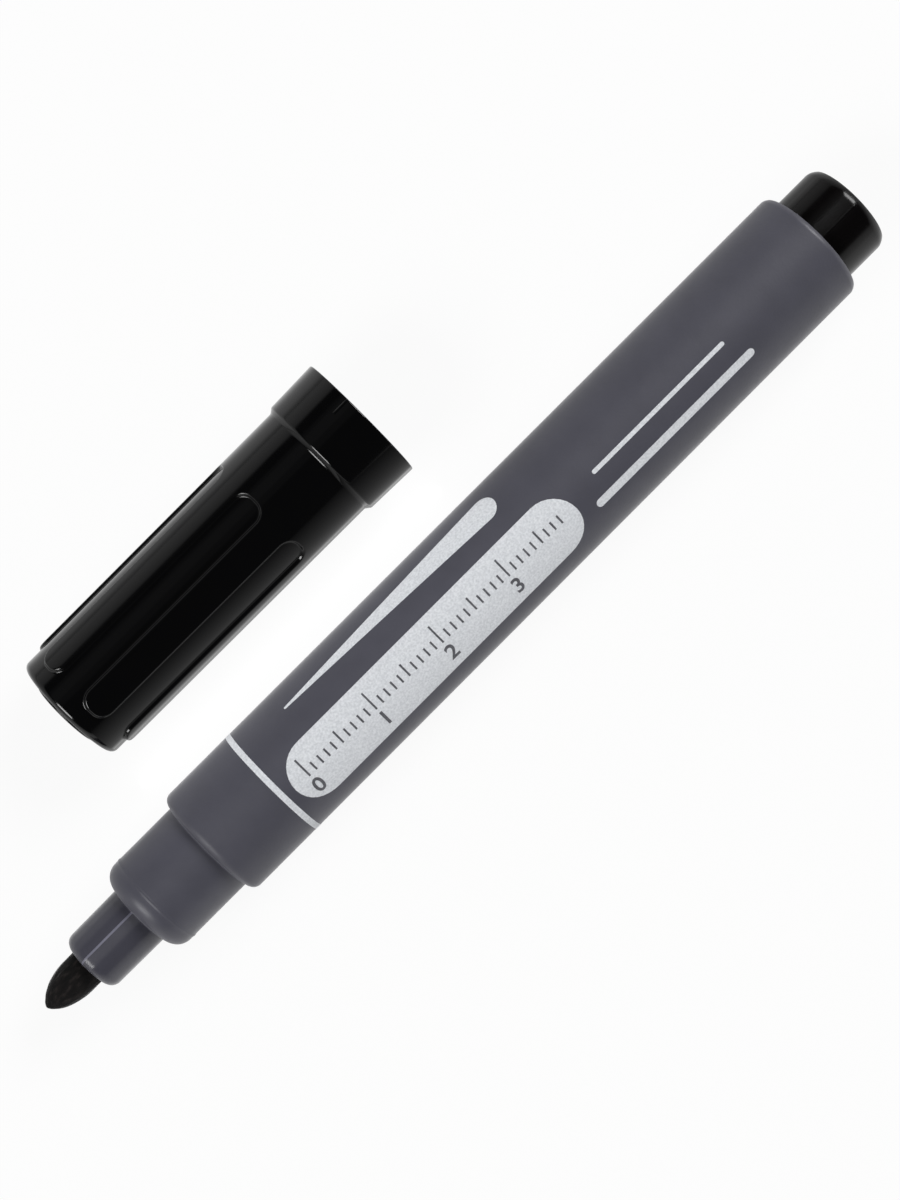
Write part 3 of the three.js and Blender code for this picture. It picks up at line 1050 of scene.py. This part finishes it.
def make_plain_marks():
    """A wedge of growing line width and two plain strokes, in place of the other lettering."""
    wedge = rounded_bar(WEDGE_START_X, WEDGE_END_X, WEDGE_HEIGHT, WEDGE_THIN / 2, WEDGE_THICK / 2)
    wrapped_ink("print_wedge", flat_shapes([wedge]), silver_ink(), 1)
    for number, (start_x, end_x, height, thickness) in enumerate(STROKES, 1):
        stroke = rounded_bar(start_x, end_x, height, thickness / 2, thickness / 2)
        wrapped_ink(f"print_stroke_{number}", flat_shapes([stroke]), silver_ink(), 1)


# Surroundings


def add_camera():
    """The camera at the photograph's place, over the object with its up side turned."""
    data = bpy.data.cameras.new("camera")
    data.lens = CAMERA_LENS
    data.clip_start = CAMERA_CLIP
    camera = bpy.data.objects.new("camera", data)
    bpy.context.collection.objects.link(camera)
    turn = Matrix.Rotation(CAMERA_TURN, 3, "Z")
    tilt = Matrix.Rotation(CAMERA_TILT, 3, "Y")
    pitch = Matrix.Rotation(CAMERA_PITCH, 3, "X")
    seen_from = (turn @ tilt @ pitch).transposed()
    camera.matrix_world = Matrix.Translation(CAMERA_PLACE) @ seen_from.to_4x4()
    bpy.context.scene.camera = camera


def add_softbox(name, azimuth, elevation, width, height, radiance):
    """A rectangular lamp facing the object. Azimuth is from +X towards +Y, both angles in degrees."""
    data = bpy.data.lights.new(name, "AREA")
    data.shape = "RECTANGLE"
    data.size = width
    data.size_y = height
    data.energy = radiance * width * height * LAMP_ENERGY
    lamp = bpy.data.objects.new(name, data)
    lamp.visible_camera = False
    bpy.context.collection.objects.link(lamp)
    turn = math.radians(azimuth)
    rise = math.radians(elevation)
    outwards = Vector((math.cos(turn) * math.cos(rise), math.sin(turn) * math.cos(rise), math.sin(rise)))
    lamp.location = outwards * LAMP_DISTANCE
    lamp.rotation_mode = "QUATERNION"
    lamp.rotation_quaternion = (-outwards).to_track_quat("-Z", "Y")


def ray_share(tree, shares):
    """The share of the white background that each named kind of ray sees, and zero for the rest."""
    path = tree.nodes.new("ShaderNodeLightPath")
    largest = None
    for kind, share in shares.items():
        scaled = tree.nodes.new("ShaderNodeMath")
        scaled.operation = "MULTIPLY"
        scaled.inputs[1].default_value = share
        tree.links.new(path.outputs[kind], scaled.inputs[0])
        if largest is None:
            largest = scaled.outputs[0]
            continue
        larger = tree.nodes.new("ShaderNodeMath")
        larger.operation = "MAXIMUM"
        tree.links.new(largest, larger.inputs[0])
        tree.links.new(scaled.outputs[0], larger.inputs[1])
        largest = larger.outputs[0]
    return largest


def add_world():
    """A room with pale walls, higher but dimmer towards +Y, under a dark ceiling. Cameras see it white."""
    world = bpy.data.worlds.new("studio")
    world.use_nodes = True
    bpy.context.scene.world = world
    tree = world.node_tree
    place = tree.nodes.new("ShaderNodeTexCoord")
    height = tree.nodes.new("ShaderNodeVectorMath")
    height.operation = "DOT_PRODUCT"
    height.inputs[1].default_value = (0, ROOM_LEAN, 1)
    tree.links.new(place.outputs["Generated"], height.inputs[0])
    room = add_ramp(tree, height.outputs["Value"], grey_stops(ROOM_GLOWS))
    split = tree.nodes.new("ShaderNodeSeparateXYZ")
    side = tree.nodes.new("ShaderNodeMath")
    side.operation = "MULTIPLY_ADD"
    side.inputs[1].default_value = ROOM_CHANGE
    side.inputs[2].default_value = 1
    lit = tree.nodes.new("ShaderNodeVectorMath")
    lit.operation = "SCALE"
    tree.links.new(place.outputs["Generated"], split.inputs["Vector"])
    tree.links.new(split.outputs["Y"], side.inputs[0])
    tree.links.new(room, lit.inputs["Vector"])
    tree.links.new(side.outputs["Value"], lit.inputs["Scale"])
    seen = tree.nodes.new("ShaderNodeMix")
    seen.data_type = "RGBA"
    tree.links.new(ray_share(tree, {"Is Camera Ray": 1, "Is Transmission Ray": 1}), seen.inputs["Factor"])
    tree.links.new(lit.outputs["Vector"], seen.inputs["A"])
    seen.inputs["B"].default_value = (1, 1, 1, 1)
    tree.links.new(seen.outputs["Result"], tree.nodes["Background"].inputs["Color"])


def add_stage(name, corners, material):
    """A flat surface that isn't part of the object."""
    mesh = bpy.data.meshes.new(name)
    mesh.from_pydata(corners, [], [(0, 1, 2, 3)])
    mesh.materials.append(material)
    surface = bpy.data.objects.new(name, mesh)
    bpy.context.collection.objects.link(surface)
    return surface


def add_floor():
    """A pale floor with the object's soft shadow. The camera sees it almost white.

    Reflections see it with a painted shade that changes from -Y to +Y, darkest under the cap and far
    behind it."""
    material, tree, shader = new_shader("pale_floor", (0.8, 0.8, 0.8), 0.9)
    glow = tree.nodes.new("ShaderNodeEmission")
    glow.inputs["Color"].default_value = (1, 1, 1, 1)
    place = tree.nodes.new("ShaderNodeTexCoord")
    split = tree.nodes.new("ShaderNodeSeparateXYZ")
    across = tree.nodes.new("ShaderNodeMapRange")
    across.inputs["From Min"].default_value = -FLOOR_SHADE_REACH
    across.inputs["From Max"].default_value = FLOOR_SHADE_REACH
    tree.links.new(place.outputs["Object"], split.inputs["Vector"])
    tree.links.new(split.outputs["Y"], across.inputs["Value"])
    # The painted shade that glossy rays see on the floor, by its place across Y.
    loss = add_ramp(tree, across.outputs["Result"], grey_stops(FLOOR_REFLECTED_SHADE))
    path = tree.nodes.new("ShaderNodeLightPath")
    dimming = tree.nodes.new("ShaderNodeMath")
    dimming.operation = "MULTIPLY"
    strength = tree.nodes.new("ShaderNodeMath")
    strength.operation = "SUBTRACT"
    strength.inputs[0].default_value = 1
    tree.links.new(loss, dimming.inputs[0])
    tree.links.new(path.outputs["Is Glossy Ray"], dimming.inputs[1])
    tree.links.new(dimming.outputs["Value"], strength.inputs[1])
    tree.links.new(strength.outputs["Value"], glow.inputs["Strength"])
    mix = tree.nodes.new("ShaderNodeMixShader")
    tree.links.new(ray_share(tree, FLOOR_WHITE), mix.inputs["Fac"])
    tree.links.new(shader.outputs["BSDF"], mix.inputs[1])
    tree.links.new(glow.outputs["Emission"], mix.inputs[2])
    tree.links.new(mix.outputs["Shader"], tree.nodes["Material Output"].inputs["Surface"])
    corners = [(x * FLOOR_HALF, y * FLOOR_HALF, 0) for x, y in ((-1, -1), (1, -1), (1, 1), (-1, 1))]
    add_stage("floor", corners, material)


def add_fill_card(name, y, glows):
    """An upright card between marker and cap that lights a flank."""
    material = bpy.data.materials.new(name)
    material.use_nodes = True
    tree = material.node_tree
    place = tree.nodes.new("ShaderNodeTexCoord")
    split = tree.nodes.new("ShaderNodeSeparateXYZ")
    height = tree.nodes.new("ShaderNodeMapRange")
    height.inputs["From Max"].default_value = CARD_TOP
    glow = tree.nodes.new("ShaderNodeEmission")
    glow.inputs["Strength"].default_value = CARD_BRIGHTEST
    tree.links.new(place.outputs["Object"], split.inputs["Vector"])
    tree.links.new(split.outputs["Z"], height.inputs["Value"])
    stops = grey_stops((share, light / CARD_BRIGHTEST) for share, light in glows)
    tree.links.new(add_ramp(tree, height.outputs["Result"], stops), glow.inputs["Color"])
    tree.links.new(glow.outputs["Emission"], tree.nodes["Material Output"].inputs["Surface"])
    foot = [(CARD_START_X, y, 0), (CARD_END_X, y, 0)]
    card = add_stage(name, [*foot, (CARD_END_X, y, CARD_TOP), (CARD_START_X, y, CARD_TOP)], material)
    card.visible_camera = False
    card.visible_shadow = False


add_camera()
add_world()
add_floor()
add_fill_card("cap_fill_card", CAP_CARD_Y, CAP_CARD_GLOWS)
add_fill_card("barrel_fill_card", BARREL_CARD_Y, BARREL_CARD_GLOWS)
add_softbox("nib_end_softbox", azimuth=180, elevation=42, width=0.6, height=0.4, radiance=7.5)
add_softbox("plug_end_softbox", azimuth=9, elevation=42, width=0.5, height=0.5, radiance=9.0)
add_softbox("overhead_glow", azimuth=90, elevation=61, width=1.4, height=0.34, radiance=0.027)
add_softbox("overhead_haze", azimuth=90, elevation=64, width=1.4, height=0.7, radiance=0.027)

make_barrel()
make_ribs()
make_plug()
make_nib()
make_cap()
make_cap_seal()
make_mould_mark()
make_ring_print()
make_label()
make_plain_marks()
frame["nodes"]["ink_filler"].material_slots[0].material = filler_fibre()
frame["nodes"]["filler_film"].material_slots[0].material = filler_film()

bpy.context.scene.view_settings.view_transform = "Standard"
